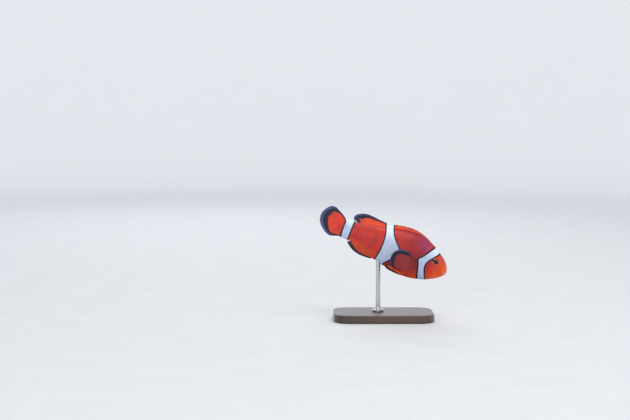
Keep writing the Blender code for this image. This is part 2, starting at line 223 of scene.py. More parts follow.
# The white bars: (height, x) down the front edge and down the rear one, and the black line's width
HEAD_BAR = (
    ((12, -8.2), (9.4, -9.4), (8.4, -10.1), (6.6, -11.7), (5.4, -12.7), (3.8, -14.1), (2.0, -15.2),
     (0.8, -15.7), (-0.4, -15.9), (-1.8, -15.8), (-4.6, -14.9), (-6.7, -13.9), (-8.9, -12.5), (-11, -11.2)),
    ((13, -11.6), (10.8, -13.3), (8.5, -15.1), (6.6, -16.4), (4.3, -18.1), (2.9, -19.4), (1.9, -20.3),
     (1.0, -20.3), (-0.8, -19.6), (-4.6, -18.4), (-7.4, -17.5), (-9.1, -16.9), (-11, -16.1)),
    1.0,
)
MID_BAR = (
    ((18, -42.6), (15.5, -42.0), (12.7, -41.3), (10.9, -40.6), (9.1, -39.7), (7.3, -38.3), (5.5, -36.7),
     (3.8, -34.8), (0.5, -33.7), (-2.5, -34.9), (-5.8, -37.4), (-8.3, -39.3), (-11, -40.5)),
    ((18, -48.2), (14.1, -46.3), (10.9, -45.1), (7.3, -44.3), (3.0, -43.9), (0, -43.9), (-3.4, -44.1),
     (-6.9, -44.7), (-9.4, -45.3), (-11, -45.8)),
    0.85,
)
TAIL_BAR = (
    ((11, -66.0), (8, -65.8), (3, -65.8), (-3, -65.9), (-6, -66.1)),
    ((11, -74.6), (9.3, -73.0), (8.2, -71.5), (7.1, -70.5), (5, -70.1), (0, -70.1), (-3, -69.8),
     (-6, -69.4)),
    0.95,
)


def bar_depth(bar, x, z):
    """How far inside a bar a point lies, in millimetres; outside, below 0, in widths of its black line."""
    *edges, line = bar
    inside = []
    for edge, side in zip(edges, (1, -1)):
        curve = spline(edge)
        slope = (curve(z + 0.1) - curve(z - 0.1)) / 0.2
        inside.append(side * (curve(z) - x) / np.sqrt(1 + slope**2))
    depth = np.minimum(*inside)
    return np.where(depth > 0, depth, depth / line)


def rear_share(x):
    """0 ahead of the middle bar, 1 behind it."""
    return ramp(-x, 44, 48)


def warm_share(x, level):
    """How bright the orange is: face, belly (painted bounce light), and the upper and lower edge of the
    rear.
    """
    face = ramp(x, -14, -5)
    edges = 0.05 + 0.35 * ramp(level, 0.78, 1.05) + 0.1 * ramp(level, 0.22, -0.02)
    # the belly's share is painted light, bounced up from below
    return 0.95 * face + 0.7 * ramp(level, 0.28, 0.05) * (1 - face) + rear_share(x) * edges


def dusk_and_shade_share(x, z, level):
    """How dusky the orange is: most over the pectoral fin's root, where it is painted shadow, less on
    belly, cheek and rear.
    """
    behind_head = ramp(-x, 16, 19)
    shoulder = behind_head * ramp(-x, 41, 37) * ramp(level, 0.02, 0.22)
    # painted shadow under the pectoral fin's root
    fin_root = hump(z + 0.8, 4.2) * hump(x + 21.6, 3.6)
    belly = (1 - rear_share(x)) * behind_head * ramp(level, 0.25, 0.1)
    rear = rear_share(x) * (0.10 * hump(level - 0.45, 0.3) + 0.12 * ramp(level, 0.35, 0.1))
    cheek = ramp(-x, 9, 13) * ramp(-x, 17, 15)
    on_shoulder = shoulder * (0.24 + 0.26 * ramp(x, -34, -25) + 0.45 * fin_root)
    return on_shoulder + 0.10 * belly + rear + 0.14 * cheek


def mauve_sheen_share(x, z):
    """How strong the painted purplish sheen, a reflection of light, is on the forehead and the nape."""
    forehead = ramp(z, 3.5, 7.5) * ramp(-x, 9, 5)
    nape = ramp(-x, 14, 17) * ramp(-x, 27, 19) * ramp(z, 5, 9)
    return 0.62 * forehead + 0.35 * nape


def lip_pale_and_glint_share(points):
    """How pale the lips and the chin's edge are, the lower lip more than the upper: pale lips and a painted
    glint.
    """
    side_view = points[:, [0, 2]]
    gap, along = nearest_on(MOUTH_LINE, side_view)
    below = points[:, 2] < mouth_height(along)
    lips = ramp(gap, 1.3, 0.5) * ramp(along, 1.0, 0.55) * np.where(below, 0.8, 0.35)
    gap, along = nearest_on(CHIN_LINE, side_view)
    chin = 0.55 * hump(gap, 0.6) * ramp(along, 1.0, 0.6) * ramp(np.abs(points[:, 1]), 0.6, 1.6)
    return np.maximum(lips, chin)


def flank_markings(points, bars=(HEAD_BAR, MID_BAR, TAIL_BAR)):
    """What the skin's paint reads at each point: signed distances in millimetres and shares from 0 to 1."""
    x, _, z = points.T
    back, belly = back_height(-x), belly_height(-x)
    level = (z - belly) / np.maximum(back - belly, 1)
    edge_gap = np.minimum(z - belly, back - z)
    outside = np.full(len(x), FAR)
    marks = {
        "white": np.maximum.reduce([bar_depth(bar, x, z) for bar in bars]) if bars else outside,
        "black": np.where(np.abs(x - TAIL_ROOT) < TAIL_ROOT_REACH, TAIL_EDGE - edge_gap, FAR),
        "rim": outside,
        "warm": np.clip(warm_share(x, level), 0, 1),
        # dusky tone with painted shade in it, the shadow under the pectoral fin's root among it
        "dusk": np.clip(dusk_and_shade_share(x, z, level), 0, 1),
        # painted shade: the white bars darken and turn bluer towards the belly
        "low": ramp(level, 0.95, 0.58),
        # pale lips, with a painted glint on the lower lip and along the chin's edge
        "lip": lip_pale_and_glint_share(points),
        # painted sheen: a purplish reflection of light on forehead and nape
        "mauve": mauve_sheen_share(x, z),
    }
    return marks | {name: np.zeros(len(x)) for name in ("ray", "edge", "fin", "span")}


# ---------------- body

# The face's folds, as (x, height)
MOUTH_LINE = smooth_line([(0.7, -0.5), (-0.4, -0.85), (-1.4, -1.35), (-2.3, -2.0), (-3.0, -2.7),
                          (-3.4, -3.4)])
CHIN_LINE = smooth_line([(0.2, -1.5), (-1.7, -3.1), (-4.2, -5.1), (-6.0, -6.1)])
LIP_FOLD = smooth_line([(-2.6, -0.6), (-3.6, -1.6), (-4.3, -2.9), (-4.4, -4.3)])
CHEEK_LINE = smooth_line([(-12.9, 7.8), (-14.1, 4.8), (-14.3, 0.5), (-13.6, -3.2), (-11.7, -6.0),
                          (-8.6, -7.2), (-6.2, -6.4)])
EYE_FOLD = smooth_line([(-6.2, 1.1), (-7.9, -0.1), (-10.3, -0.7), (-12.3, -0.1), (-13.5, 1.1)])
LATERAL_LINE = smooth_line([(-19.5, 9.8), (-24, 11.6), (-31, 12.4), (-40, 10.9), (-50, 9.3), (-58, 7.9)])
NOSTRIL = (-5.0, 4.3)
THROAT_LINE = smooth_line([(-15.8, 3.0), (-13.5, 1.9), (-11.0, 1.0), (-8.8, 0.3)])  # as (x, off the middle)


def eye_place():
    """Where the right eyeball meets the cheek, and its outward axis."""
    around = around_at(EYE_BEHIND, EYE_HEIGHT)
    return plain_skin(EYE_BEHIND, around), skin_normal(EYE_BEHIND, around)


def eyeball_place(side):
    """An eyeball's centre and outward axis; side is -1 for the right one, 1 for the left one."""
    centre, axis = eye_place()
    mirror = np.array([1, -side, 1])
    return (centre + axis * (EYE_PROUD - EYE_DEPTH)) * mirror, axis * mirror


def crease(line, points, width, first, last):
    """How deep in a crease each point lies, 0 to 1; it is full between the shares first and last."""
    gap, along = nearest_on(line, points)
    return hump(gap, width) * ramp(along, 0.0, first) * ramp(along, 1.0, last)


def mouth_height(along):
    """The mouth line's height at a share of its length."""
    return np.interp(along, np.linspace(0, 1, len(MOUTH_LINE)), MOUTH_LINE[:, 1])


def mouth_relief(side_view):
    """The mouth's slit, the full lips above and below it, and the fold at its corner."""
    gap, along = nearest_on(MOUTH_LINE, side_view)
    above = np.where(side_view[:, 1] > mouth_height(along), gap, -gap)
    fade = ramp(along, 1.0, 0.3)
    relief = -(0.24 + 0.36 * fade) * hump(gap, 0.16) - 0.22 * ramp(gap, 3.0, 0.5) * fade
    relief += fade * (0.32 * hump(above - 0.62, 0.38) + 0.34 * hump(above + 0.58, 0.36))
    relief -= fade * (0.14 * hump(above - 1.35, 0.24) + 0.12 * hump(above + 1.30, 0.24))
    gap, along = nearest_on(LIP_FOLD, side_view)
    return relief - 0.15 * hump(gap, 0.2) * np.sin(np.pi * along)


def eye_rim_relief(points):
    """A low swelling round each eye and a shallow groove outside it."""
    centre, axis = eye_place()
    offset = points * [1, -1, 1] * np.where(points[:, 1:2] > 0, 1, -1) - centre
    out = np.linalg.norm(offset - (offset @ axis)[:, None] * axis, axis=1) - EYE_OPENING
    near = ramp(points[:, 0], -16, -14) * ramp(np.abs(points[:, 1]), 0.8, 2.4)
    return near * (0.13 * hump(out - 0.36, 0.30) - 0.10 * hump(out - 1.2, 0.5))


def head_relief(points):
    """How far the face's folds stand out of the plain skin."""
    side_view = points[:, [0, 2]]
    flank = ramp(np.abs(points[:, 1]), 0.8, 2.0)
    relief = mouth_relief(side_view) + eye_rim_relief(points)
    relief -= flank * 0.24 * crease(CHEEK_LINE, side_view, 0.28, 0.12, 0.9)
    relief -= flank * 0.12 * crease(EYE_FOLD, side_view, 0.25, 0.2, 0.8)
    gap, _ = nearest_on(EYE_FOLD, side_view)
    relief -= flank * 0.07 * hump(gap - 1.6, 0.5) * ramp(side_view[:, 0], -8, -4)
    gap, along = nearest_on(THROAT_LINE, np.stack([points[:, 0], np.abs(points[:, 1])], -1))
    relief -= 0.28 * hump(gap, 0.22) * ramp(points[:, 2], -6.5, -8.5) * ramp(along, 1.0, 0.9)
    gap = np.hypot(*(side_view - NOSTRIL).T)
    return relief + flank * (0.12 * hump(gap - 0.42, 0.2) - 0.4 * hump(gap, 0.24))


def flank_relief(points):
    """The lateral line's low ridge."""
    return 0.07 * crease(LATERAL_LINE, points[:, [0, 2]], 0.24, 0.05, 0.95)


def gill_relief(behind, around):
    """The gill cover's free edge stands out, and the flank behind it sinks under it."""
    turn = np.abs((np.asarray(around) + math.pi) % (2 * math.pi) - math.pi)
    open_part = ramp(turn, 0.20 * math.pi, 0.32 * math.pi) * ramp(turn, 0.97 * math.pi, 0.88 * math.pi)
    past = behind - gill_edge(around)
    ahead = 0.12 * np.exp(np.minimum(past, 0) / 1.6) - 0.10 * hump(past + 2.2, 0.7)
    after = -0.42 * np.exp(-np.maximum(past, 0) / 2.6)
    return open_part * np.where(past > 0.03, after, ahead)


def body_surface(behind, around, lift=0.0):
    """The finished skin's points, or points that far above it."""
    behind, around = np.broadcast_arrays(np.asarray(behind, float), np.asarray(around, float))
    plain, normal = plain_skin(behind, around), skin_normal(behind, around)
    flat = plain.reshape(-1, 3)
    x = flat[:, 0]
    relief = head_relief(flat) * ramp(x, -18, -16) + flank_relief(flat) * ramp(x, -18, -20)
    relief = relief.reshape(behind.shape)
    depth = COAT * ramp(behind, 0, 2)
    return plain + normal * (relief + gill_relief(behind, around) - depth + lift)[..., None]


def grid_faces(rows, columns):
    """Quads of a grid of points, and the points of its rim in order."""
    index = np.arange(rows * columns).reshape(rows, columns)
    quads = np.stack([index[:-1, :-1], index[:-1, 1:], index[1:, 1:], index[1:, :-1]], -1).reshape(-1, 4)
    return quads, np.concatenate([index[0], index[1:, -1], index[-1, -2::-1], index[-2:0:-1, 0]])


def ring_faces(rings, around):
    """Quads between successive rings of points."""
    column = np.arange(around)
    after = (column + 1) % around
    quads = []
    for r in range(rings - 1):
        k = r * around
        quads.append(np.stack([k + column, k + around + column, k + around + after, k + after], -1))
    return np.concatenate(quads).tolist()


def closed_faces(rings, around):
    """The rings' quads, and fans from the first and last ring to the two end points that follow them."""
    column = range(around)
    top, last = rings * around, (rings - 1) * around
    faces = ring_faces(rings, around)
    faces += [(top, i, (i + 1) % around) for i in column]
    return faces + [(top + 1, last + (i + 1) % around, last + i) for i in column]


def body_shell():
    """The closed body: head rows follow the gill edge, and trunk rows straighten out towards the tail."""
    turns = np.linspace(0, 2 * math.pi, AROUND, endpoint=False)[None, :]
    gill = gill_edge(turns)
    head = gill * np.linspace(0, 1, HEAD_ROWS + 1)[1:, None] ** 2
    shares = np.concatenate([[FIRST_ROW], np.linspace(0, 1, TRUNK_ROWS + 1)[1:]])
    behind = np.concatenate([head, gill + (BODY_END - gill) * shares[:, None]])
    points = body_surface(behind, np.broadcast_to(turns, behind.shape)).reshape(-1, 3)
    tip = body_surface(0.0, 0.0).reshape(1, 3)
    end = points[-AROUND:].mean(0, keepdims=True)
    return np.concatenate([points, tip, end]), closed_faces(len(behind), AROUND)


# ---------------- fins

RAY_JOINT = 0.45  # spacing of the joints along a soft ray
ROUNDED_REACH = 0.13  # share of a fin's rays that its rounded corners take up
ROOT_PROUD = 0.7  # a paired fin's root stands this far out of the plain skin
DIVE_REACH, SWELL_REACH = 1.8, 1.1  # how far from its root a fin is bent in, and is thicker
BACKWARD, SIDEWAYS, UPWARD = np.array([-1.0, 0, 0]), np.array([0, 1.0, 0]), np.array([0, 0, 1.0])


def ray_pattern(place, v, rays, branched):
    """Height, 0 to 1, of the ray nearest to each place; soft rays fork twice on their way out."""
    at = place * (rays - 1)
    off = at - np.round(at)
    first = 0.20 * ramp(v, 0.42, 1.15) * branched
    second = 0.11 * ramp(v, 0.68, 1.15) * branched
    width = 0.16 - 0.09 * ramp(v, 0, 0.9) * branched
    lines = [hump(off - a * first - b * second, width) for a in (-1, 1) for b in (-1, 1)]
    return np.maximum.reduce(lines)


def fin_shell(root, reach, normal, rays, rows, markings, per_ray=8, branched=1.0, notch=0.03, flare=0.5,
              sunk=1.2, bow=0.0, dive=0.0, ripple=0.25, thick=0.10, ridge=0.10, rounded=(0.0, 0.0)):
    """A closed fin with its rays in relief.

    root and reach give (n, 3) arrays over shares from 0 to 1 along the base, and markings is called with
    the points, their distances from the outline and how far along it those are. flare is how much the root
    swells and sunk how deep it goes. bow and ripple bend the fin, and dive bends its root in. notch is how
    far the edge drops between rays, and rounded the share that is taken off the first and last rays.
    """
    shares = np.linspace(0, 1, (rays - 1) * per_ray + 1)
    branched, notch, ridge = (v(shares) if callable(v) else v for v in (branched, notch, ridge))
    v = np.concatenate([[0], np.linspace(0, 1, rows + 1)])
    start, span = root(shares), reach(shares)
    length = np.linalg.norm(span, axis=1)
    at = shares * (rays - 1)
    scallop = 1 - notch * np.sin(np.pi * (at - np.floor(at))) ** 2
    for cut, end in zip(rounded, (shares, 1 - shares)):
        scallop *= 1 - cut * (1 - np.sqrt(1 - np.square(np.maximum(0, 1 - end / ROUNDED_REACH))))
    span = span * scallop[:, None]
    grid_u, grid_v = np.meshgrid(shares, v)
    centre = start[None] + span[None] * grid_v[..., None]
    centre[0] = start - unit(span) * sunk
    wave = bow * 4 * grid_v * (1 - grid_v) + ripple * grid_v**1.5 * np.sin(grid_u * 7.0 + grid_v * 2.2)
    from_root = grid_v * length[None]
    wave = wave - dive * hump(from_root, DIVE_REACH)
    centre = centre + normal * wave[..., None]
    pattern = ray_pattern(grid_u, grid_v, rays, branched)
    swelling = flare * np.exp(-from_root / SWELL_REACH) * ramp(np.minimum(grid_u, 1 - grid_u), -0.03, 0.12)
    half = thick * (1 - 0.4 * ramp(grid_v, 0.6, 1)) + swelling
    half = half + ridge * pattern * (1 - 0.65 * grid_v)
    front, rear = centre + normal * half[..., None], centre - normal * half[..., None]
    count_v, count_u = grid_u.shape
    outline = np.concatenate([centre[1:, 0], centre[-1, 1:-1], centre[1:, -1][::-1]])
    flat_centre = centre.reshape(-1, 3)
    gap, along = nearest_on(outline[::2], flat_centre)
    marks = markings(flat_centre, gap, along)
    marks["ray"] = (pattern * (1 - 0.5 * grid_v)).ravel()
    marks["span"] = from_root.ravel()
    points = np.concatenate([front.reshape(-1, 3), rear.reshape(-1, 3)])
    marks = {name: np.concatenate([values, values]) for name, values in marks.items()}
    faces = slab_faces(count_v, count_u)
    if np.cross(start[-1] - start[0], span.mean(0)) @ normal < 0:
        faces = [face[::-1] for face in faces]
    return points, faces, marks


def slab_faces(rows, columns):
    """Faces of a slab whose points are two stacked grids of rows by columns."""
    size = rows * columns
    quads, rim = grid_faces(rows, columns)
    after = np.roll(rim, -1)
    edge = np.stack([after, rim, rim + size, after + size], -1)
    return quads.tolist() + (quads[:, ::-1] + size).tolist() + edge.tolist()


def band(rim_knots, black_knots, warm, bars=(), dusk=0.0):
    """Markings of a fin: a pale rim, absent where its width is below 0, and a black band inside it."""
    rim_width, black_width = spline(rim_knots), spline(black_knots)

    def markings(points, gap, along):
        marks = flank_markings(points, bars)
        rim = rim_width(along)
        marks["rim"] = rim - gap
        marks["black"] = np.maximum(rim, 0) + black_width(along) - gap
        even = {"warm": warm, "dusk": dusk, "lip": 0.0, "mauve": 0.0, "fin": 1.0}
        return marks | {name: np.full(len(points), value) for name, value in even.items()}

    return markings


def fan(axis, up, angle_at, length_at):
    """How far and which way each ray reaches: at an angle from axis towards up."""

    def reach(share):
        angle = angle_at(share)[:, None]
        return (axis * np.cos(angle) + up * np.sin(angle)) * length_at(share)[:, None]

    return reach


def median_fin(rays, base, edge, side, length_at, lean_at, rows, markings, **shape):
    """A fin on the back (side 1) or belly (side -1), over base; rays lean back from upright."""

    def root(share):
        behind = base(share)
        return np.stack([-behind, np.zeros_like(behind), edge(behind)], -1)

    reach = fan(side * UPWARD, BACKWARD, lambda share: np.radians(lean_at(share)), length_at)
    return fin_shell(root, reach, SIDEWAYS, rays, rows, markings, **shape)


def dorsal_fin():
    """The fin along the back: ten low spiny spaces in front, fifteen taller soft ones behind."""
    spiny, soft = 10, 15
    join = spiny / (spiny + soft)
    marks = band([(0, -0.5), (0.5, -0.2), (0.6, 0.3), (0.75, 0.7), (0.88, 1.2), (1, 1.0)],
                 [(0, -0.3), (0.08, 0.1), (0.3, 0.15), (0.5, 0.4), (0.62, 0.8), (0.75, 1.5), (0.87, 2.8),
                  (0.95, 2.5), (1, 1.3)],
                 warm=0.7, bars=(MID_BAR,), dusk=0.10)
    lengths = spline([(0, 1.2), (0.08, 2.5), (0.2, 3.1), (0.3, 3.0), (join, 2.9), (0.55, 4.4), (0.7, 6.7),
                      (0.79, 7.3), (0.88, 6.9), (0.94, 5.8), (1, 3.2)])
    leans = spline([(0, 58), (0.2, 62), (join, 58), (0.55, 50), (0.7, 46), (0.88, 54), (1, 72)])

    def base(share):
        return np.interp(share, (0, join, 1), (17.0, 42.8, 64.0))

    def in_front(share):
        return ramp(share, join + 0.03, join - 0.04)

    return median_fin(spiny + soft + 1, base, back_height, 1, lengths, leans, 18, marks,
                      branched=lambda share: 1 - in_front(share),
                      notch=lambda share: 0.018 + 0.13 * in_front(share),
                      ridge=lambda share: 0.10 + 0.06 * in_front(share), rounded=(0.0, 0.3))


def anal_fin():
    marks = band([(0, -0.4), (0.5, 0.0), (1, 0.0)],
                 [(0, 0.7), (0.3, 1.3), (0.6, 1.9), (0.9, 2.3), (1, 1.5)],
                 warm=0.4, bars=(MID_BAR,), dusk=0.10)
    lengths = spline([(0, 1.5), (0.25, 3.8), (0.5, 4.7), (0.8, 3.9), (1, 2.3)])
    leans = spline([(0, 60), (0.5, 60), (1, 74)])
    base = spline([(0, 47.2), (1, 63.5)])
    return median_fin(14, base, belly_height, -1, lengths, leans, 14, marks,
                      notch=0.02, rounded=(0.0, 0.25))


def tail_fin():
    tilt, spread_up, spread_down = np.radians((6.5, 21.0, 27.0))
    root_behind, centre, half_height = 71.0, 2.35, 5.9
    length_at = spline([(0, 10.6), (0.05, 11.7), (0.125, 12.9), (0.25, 14.5), (0.5, 15.7), (0.625, 14.8),
                        (0.75, 12.6), (0.875, 9.8), (1, 6.9)])
    marks = band([(0, -0.3), (0.2, 0.9), (0.34, 1.6), (0.5, 1.9), (0.66, 1.8), (0.82, 1.0), (0.93, 0.3),
                  (1, -0.3)],
                 [(0, 0.5), (0.12, 0.8), (0.2, 2.0), (0.27, 3.2), (0.36, 3.0), (0.5, 3.1), (0.62, 3.0),
                  (0.73, 2.3), (0.81, 1.6), (0.9, 1.2), (1, 0.8)],
                 warm=0.25, bars=(TAIL_BAR,), dusk=0.10)

    def root(share):
        height = centre + half_height * (1 - 2 * share)
        return np.stack([np.full_like(share, -root_behind), np.zeros_like(share), height], -1)

    def angle_at(share):
        place = 1 - 2 * share
        return tilt + np.where(place > 0, spread_up, spread_down) * place

    reach = fan(BACKWARD, UPWARD, angle_at, length_at)
    return fin_shell(root, reach, SIDEWAYS, 17, 34, marks, flare=0.45, sunk=1.0, ripple=0.22, notch=0.012,
                     ridge=0.13, rounded=(0.22, 0.22))


def paired_fin(side, rays, rows, place, axis, up, spread, lengths, root_half, markings, **shape):
    """A fan-shaped fin on the flank or belly; axis and up span its plane on the right side."""
    around = around_at(*place)
    centre = plain_skin(place[0], around) + skin_normal(place[0], around) * ROOT_PROUD
    mirror = np.array([1, -side, 1])
    axis = unit(np.array(axis, float))
    up = unit(np.array(up, float) - axis * (axis @ np.array(up, float)))
    outward = np.cross(up, axis) * mirror

    def root(share):
        return (centre + up * ((1 - 2 * share) * root_half)[:, None]) * mirror

    def angle_at(share):
        return np.radians(spread[0] + (spread[1] - spread[0]) * share)

    reach = fan(axis * mirror, up * mirror, angle_at, spline(lengths))
    return fin_shell(root, reach, outward, rays, rows, markings, **shape)


def pectoral_fin(side):
    marks = band([(0, -0.6), (0.12, -0.5), (0.2, 0.2), (0.5, 0.25), (0.7, 0.1), (0.8, -0.5), (1, -0.6)],
                 [(0, 0.0), (0.1, 0.3), (0.17, 1.8), (0.3, 2.3), (0.5, 2.5), (0.65, 2.0), (0.78, 0.6),
                  (0.88, 0.0), (1, 0.0)],
                 warm=0.0, dusk=0.8)
    lengths = ((0, 8.6), (0.25, 13.8), (0.5, 16.0), (0.75, 14.7), (0.9, 12.5), (1, 9.8))
    return paired_fin(side, 17, 26, place=(23.2, -3.4), axis=(-1, -0.46, 0), up=(0, -0.2, 1),
                      spread=(42, -23), lengths=lengths, root_half=2.0, markings=marks, per_ray=6, bow=0.8,
                      flare=0.35, sunk=2.2, dive=0.5, ripple=0.2, thick=0.08, ridge=0.09, notch=0.015,
                      rounded=(0.2, 0.2))


def pelvic_fin(side):
    marks = band([(0, -0.6), (1, -0.6)],
                 [(0, 0.0), (0.3, 0.2), (0.45, 0.8), (0.6, 1.5), (0.76, 1.5), (0.9, 0.7), (1, 0.1)],
                 warm=0.6)
    lengths = ((0, 11.2), (0.4, 13.6), (1, 10.8))
    return paired_fin(side, 6, 24, place=(25.4, -10.9), axis=(-1, -0.16, 0.15), up=(0.1, -0.62, 0.78),
                      spread=(9, -8), lengths=lengths, root_half=0.75, markings=marks, bow=0.3, flare=0.3,
                      sunk=1.0, dive=1.5, ripple=0.12, notch=0.04, rounded=(0.15, 0.15))


# ---------------- meshes

SEAM_GAP = 1e-3  # points of the joined skin further than this from the shells' own lie on a seam
SOCKET_EDGE = 0.5  # seams this near an eyeball are its socket's, and stay sharp


def to_mesh(name, points, faces):
    mesh = bpy.data.meshes.new(name)
    mesh.from_pydata(np.asarray(points).tolist(), [], faces)
    mesh.update()
    return mesh


def add_object(name, mesh, finish=None):
    obj = bpy.data.objects.new(name, mesh)
    bpy.context.scene.collection.objects.link(obj)
    if finish:
        mesh.materials.append(finish)
    return obj


def read_points(mesh):
    flat = np.zeros(len(mesh.vertices) * 3, np.float32)
    mesh.vertices.foreach_get("co", flat)
    return flat.reshape(-1, 3).astype(float)


def write_points(mesh, points):
    mesh.vertices.foreach_set("co", np.asarray(points, np.float32).ravel())
    mesh.update()


def write_marks(mesh, marks):
    for name, values in marks.items():
        layer = mesh.attributes.new(name, "FLOAT", "POINT")
        layer.data.foreach_set("value", np.asarray(values, np.float32))


def finish_shading(mesh, sharp=50):
    mesh.shade_smooth()
    mesh.set_sharp_from_angle(angle=math.radians(sharp))


def join_shells(shells, cuts):
    """One closed mesh from closed shells that run into each other, less the cuts."""
    body, *rest = [add_object(f"shell_{i}", to_mesh(f"shell_{i}", p, f)) for i, (p, f) in enumerate(shells)]
    cutters = [add_object(f"cut_{i}", to_mesh(f"cut_{i}", p, f)) for i, (p, f) in enumerate(cuts)]
    for other, operation in [(o, "UNION") for o in rest] + [(o, "DIFFERENCE") for o in cutters]:
        boolean = body.modifiers.new(other.name, "BOOLEAN")
        boolean.operation, boolean.solver, boolean.object = operation, "MANIFOLD", other
    graph = bpy.context.evaluated_depsgraph_get()
    mesh = bpy.data.meshes.new_from_object(body.evaluated_get(graph))
    for obj in [body, *rest, *cutters]:
        bpy.data.objects.remove(obj)
    mesh.materials.clear()
    drop_slivers(mesh)
    return mesh


def drop_slivers(mesh):
    """Dissolves edges and faces of no size."""
    bm = bmesh.new()
    bm.from_mesh(mesh)
    bmesh.ops.dissolve_degenerate(bm, dist=1e-5, edges=bm.edges)
    bm.to_mesh(mesh)
    bm.free()


def tree_of(points):
    tree = KDTree(len(points))
    for i, point in enumerate(points):
        tree.insert(point, i)
    tree.balance()
    return tree


def soften(mesh, seam, reach=1.0, rounds=12):
    """Rounds off the creases along the seam points, up to reach away from them."""
    points = read_points(mesh)
    count = len(points)
    near = tree_of(seam)
    weight = np.array([max(0.0, 1 - near.find(p)[2] / reach) for p in points])[:, None] * 0.5
    edges = np.zeros(len(mesh.edges) * 2, np.int32)
    mesh.edges.foreach_get("vertices", edges)
    a, b = edges.reshape(-1, 2).T
    degree = np.bincount(edges, minlength=count)[:, None]
    for _ in range(rounds):
        sums = [np.bincount(a, axis[b], count) + np.bincount(b, axis[a], count) for axis in points.T]
        points += weight * (np.stack(sums, -1) / degree - points)
    write_points(mesh, points)


def turned(centre, axis, rings, top, bottom, around):
    """A closed shape turned about an axis, from (radius, height) rings and the heights of its two ends."""
    turn = np.linspace(0, 2 * math.pi, around, endpoint=False)
    side = unit(np.cross(axis, [0, 0, 1]))
    circle = np.cos(turn)[:, None] * side + np.sin(turn)[:, None] * np.cross(axis, side)
    points = [centre + axis * height + circle * radius for radius, height in rings]
    ends = [centre + axis * top, centre + axis * bottom]
    return np.concatenate([*points, ends]), closed_faces(len(rings), around)


def eye_socket(side, rings=40, around=72):
    """The lens cut from the skin to make room for an eyeball."""
    centre, axis = eyeball_place(side)
    radius, depth = EYE_RADIUS + SOCKET_GAP, EYE_DEPTH + SOCKET_GAP
    tilts = np.linspace(0, math.pi, rings + 2)[1:-1]
    lens = [(radius * math.sin(tilt), depth * math.cos(tilt)) for tilt in tilts]
    return turned(centre, axis, lens, depth, -depth, around)


def make_skin(finish):
    """Body and fins as one skin, with the eye sockets cut, marked and posed."""
    points, faces = body_shell()
    parts = [(points, faces, flank_markings(points)), dorsal_fin(), anal_fin(), tail_fin()]
    parts += [fin(side) for side in (-1, 1) for fin in (pectoral_fin, pelvic_fin)]
    mesh = join_shells([part[:2] for part in parts], [eye_socket(side) for side in (-1, 1)])
    points = read_points(mesh)
    tree = tree_of(np.concatenate([part[0] for part in parts]))
    _, nearest, gap = zip(*(tree.find(point) for point in points))
    seam = points[np.array(gap) > SEAM_GAP]
    centre, _ = eyeball_place(-1)
    socket = np.linalg.norm((seam - centre) * [1, 0, 1], axis=1) < EYE_RADIUS + SOCKET_EDGE
    marks = {name: np.concatenate([part[2][name] for part in parts])[list(nearest)] for name in parts[0][2]}
    soften(mesh, seam[~socket])
    write_marks(mesh, marks)
    write_points(mesh, pose(read_points(mesh)))
    finish_shading(mesh)
    return add_object("skin", mesh, finish)


# ---------------- scales

SCALE_THICK = 0.035
SCALE_ROOT, SCALE_TIP, SCALE_SUNK = -0.03, 0.11, 0.12  # height over the skin at each end, how far it sinks
SCALE_GRID = 5  # points along and across a plate
SCALE_LENGTH, SCALE_HALF_WIDTH = 2.9, 0.66  # in row spacings, and in steps round
SCALE_CROWN, SCALE_VARIES = 0.03, 0.12  # how far the sides drop, and how the tips' heights differ
THIN_FROM, THIN_TO = 0.05, 0.35  # a scale that shows less than a share drawn from this range is left out
LATTICES = (
    # first and last share of the trunk, how many scales go round, row spacing
    (0.0, 0.45, 58, 0.62),
    (0.45, 0.72, 44, 0.62),
    (0.72, 0.965, 32, 0.56),
)
HEAD_ROUND, HEAD_SPACING = 78, 0.46
NAPE_HEIGHT, COAT_SPLIT = 11.4, -36.0  # the trunk's coat is cut in two at the second
ROD_CLEAR = 3.0 * MM
GILL_CLEAR = 0.1  # the trunk's rows are counted from this far behind the gill edge
PLATE_SHARP = 40  # degrees between faces from which an edge of a plate stays sharp
SEED = 7
MAP_SCALE, MAP_START, PLATE_ON_MAP = 0.9, 0.06, 0.0015  # places and half size of plates on the baked map


def around_table():
    """Angle at each share of the way round, for sections from the snout to the tail."""
    sections = np.linspace(1, BODY_END, 75)
    turns = np.linspace(0, 2 * math.pi, 361)
    shares = np.linspace(0, 1, 361)
    table = []
    for behind in sections:
        walk = np.linalg.norm(np.diff(plain_skin(behind, turns), axis=0), axis=1)
        passed = np.concatenate([[0], np.cumsum(walk)])
        table.append(np.interp(shares, passed / passed[-1], turns))
    return sections, np.array(table)


def around_from_share(lookup, behind, share):
    """The angle at a share of the way round the section there."""
    sections, table = lookup
    row = np.clip((behind - sections[0]) / (sections[1] - sections[0]), 0, len(sections) - 1.001)
    turns, share = np.floor(share), share % 1
    column = share * (table.shape[1] - 1)
    r, c = row.astype(int), np.minimum(column.astype(int), table.shape[1] - 2)
    fr, fc = row - r, column - c
    near = table[r, c] * (1 - fc) + table[r, c + 1] * fc
    far = table[r + 1, c] * (1 - fc) + table[r + 1, c + 1] * fc
    return near * (1 - fr) + far * fr + turns * 2 * math.pi


def scale_outline():
    """A round plate's grid: along, from -1 at the root to 1 at the free edge, and across."""
    line = np.linspace(-1, 1, SCALE_GRID)
    along, across = np.meshgrid(line, line, indexing="ij")
    return (along * np.sqrt(1 - across**2 / 2)).ravel(), (across * np.sqrt(1 - along**2 / 2)).ravel()


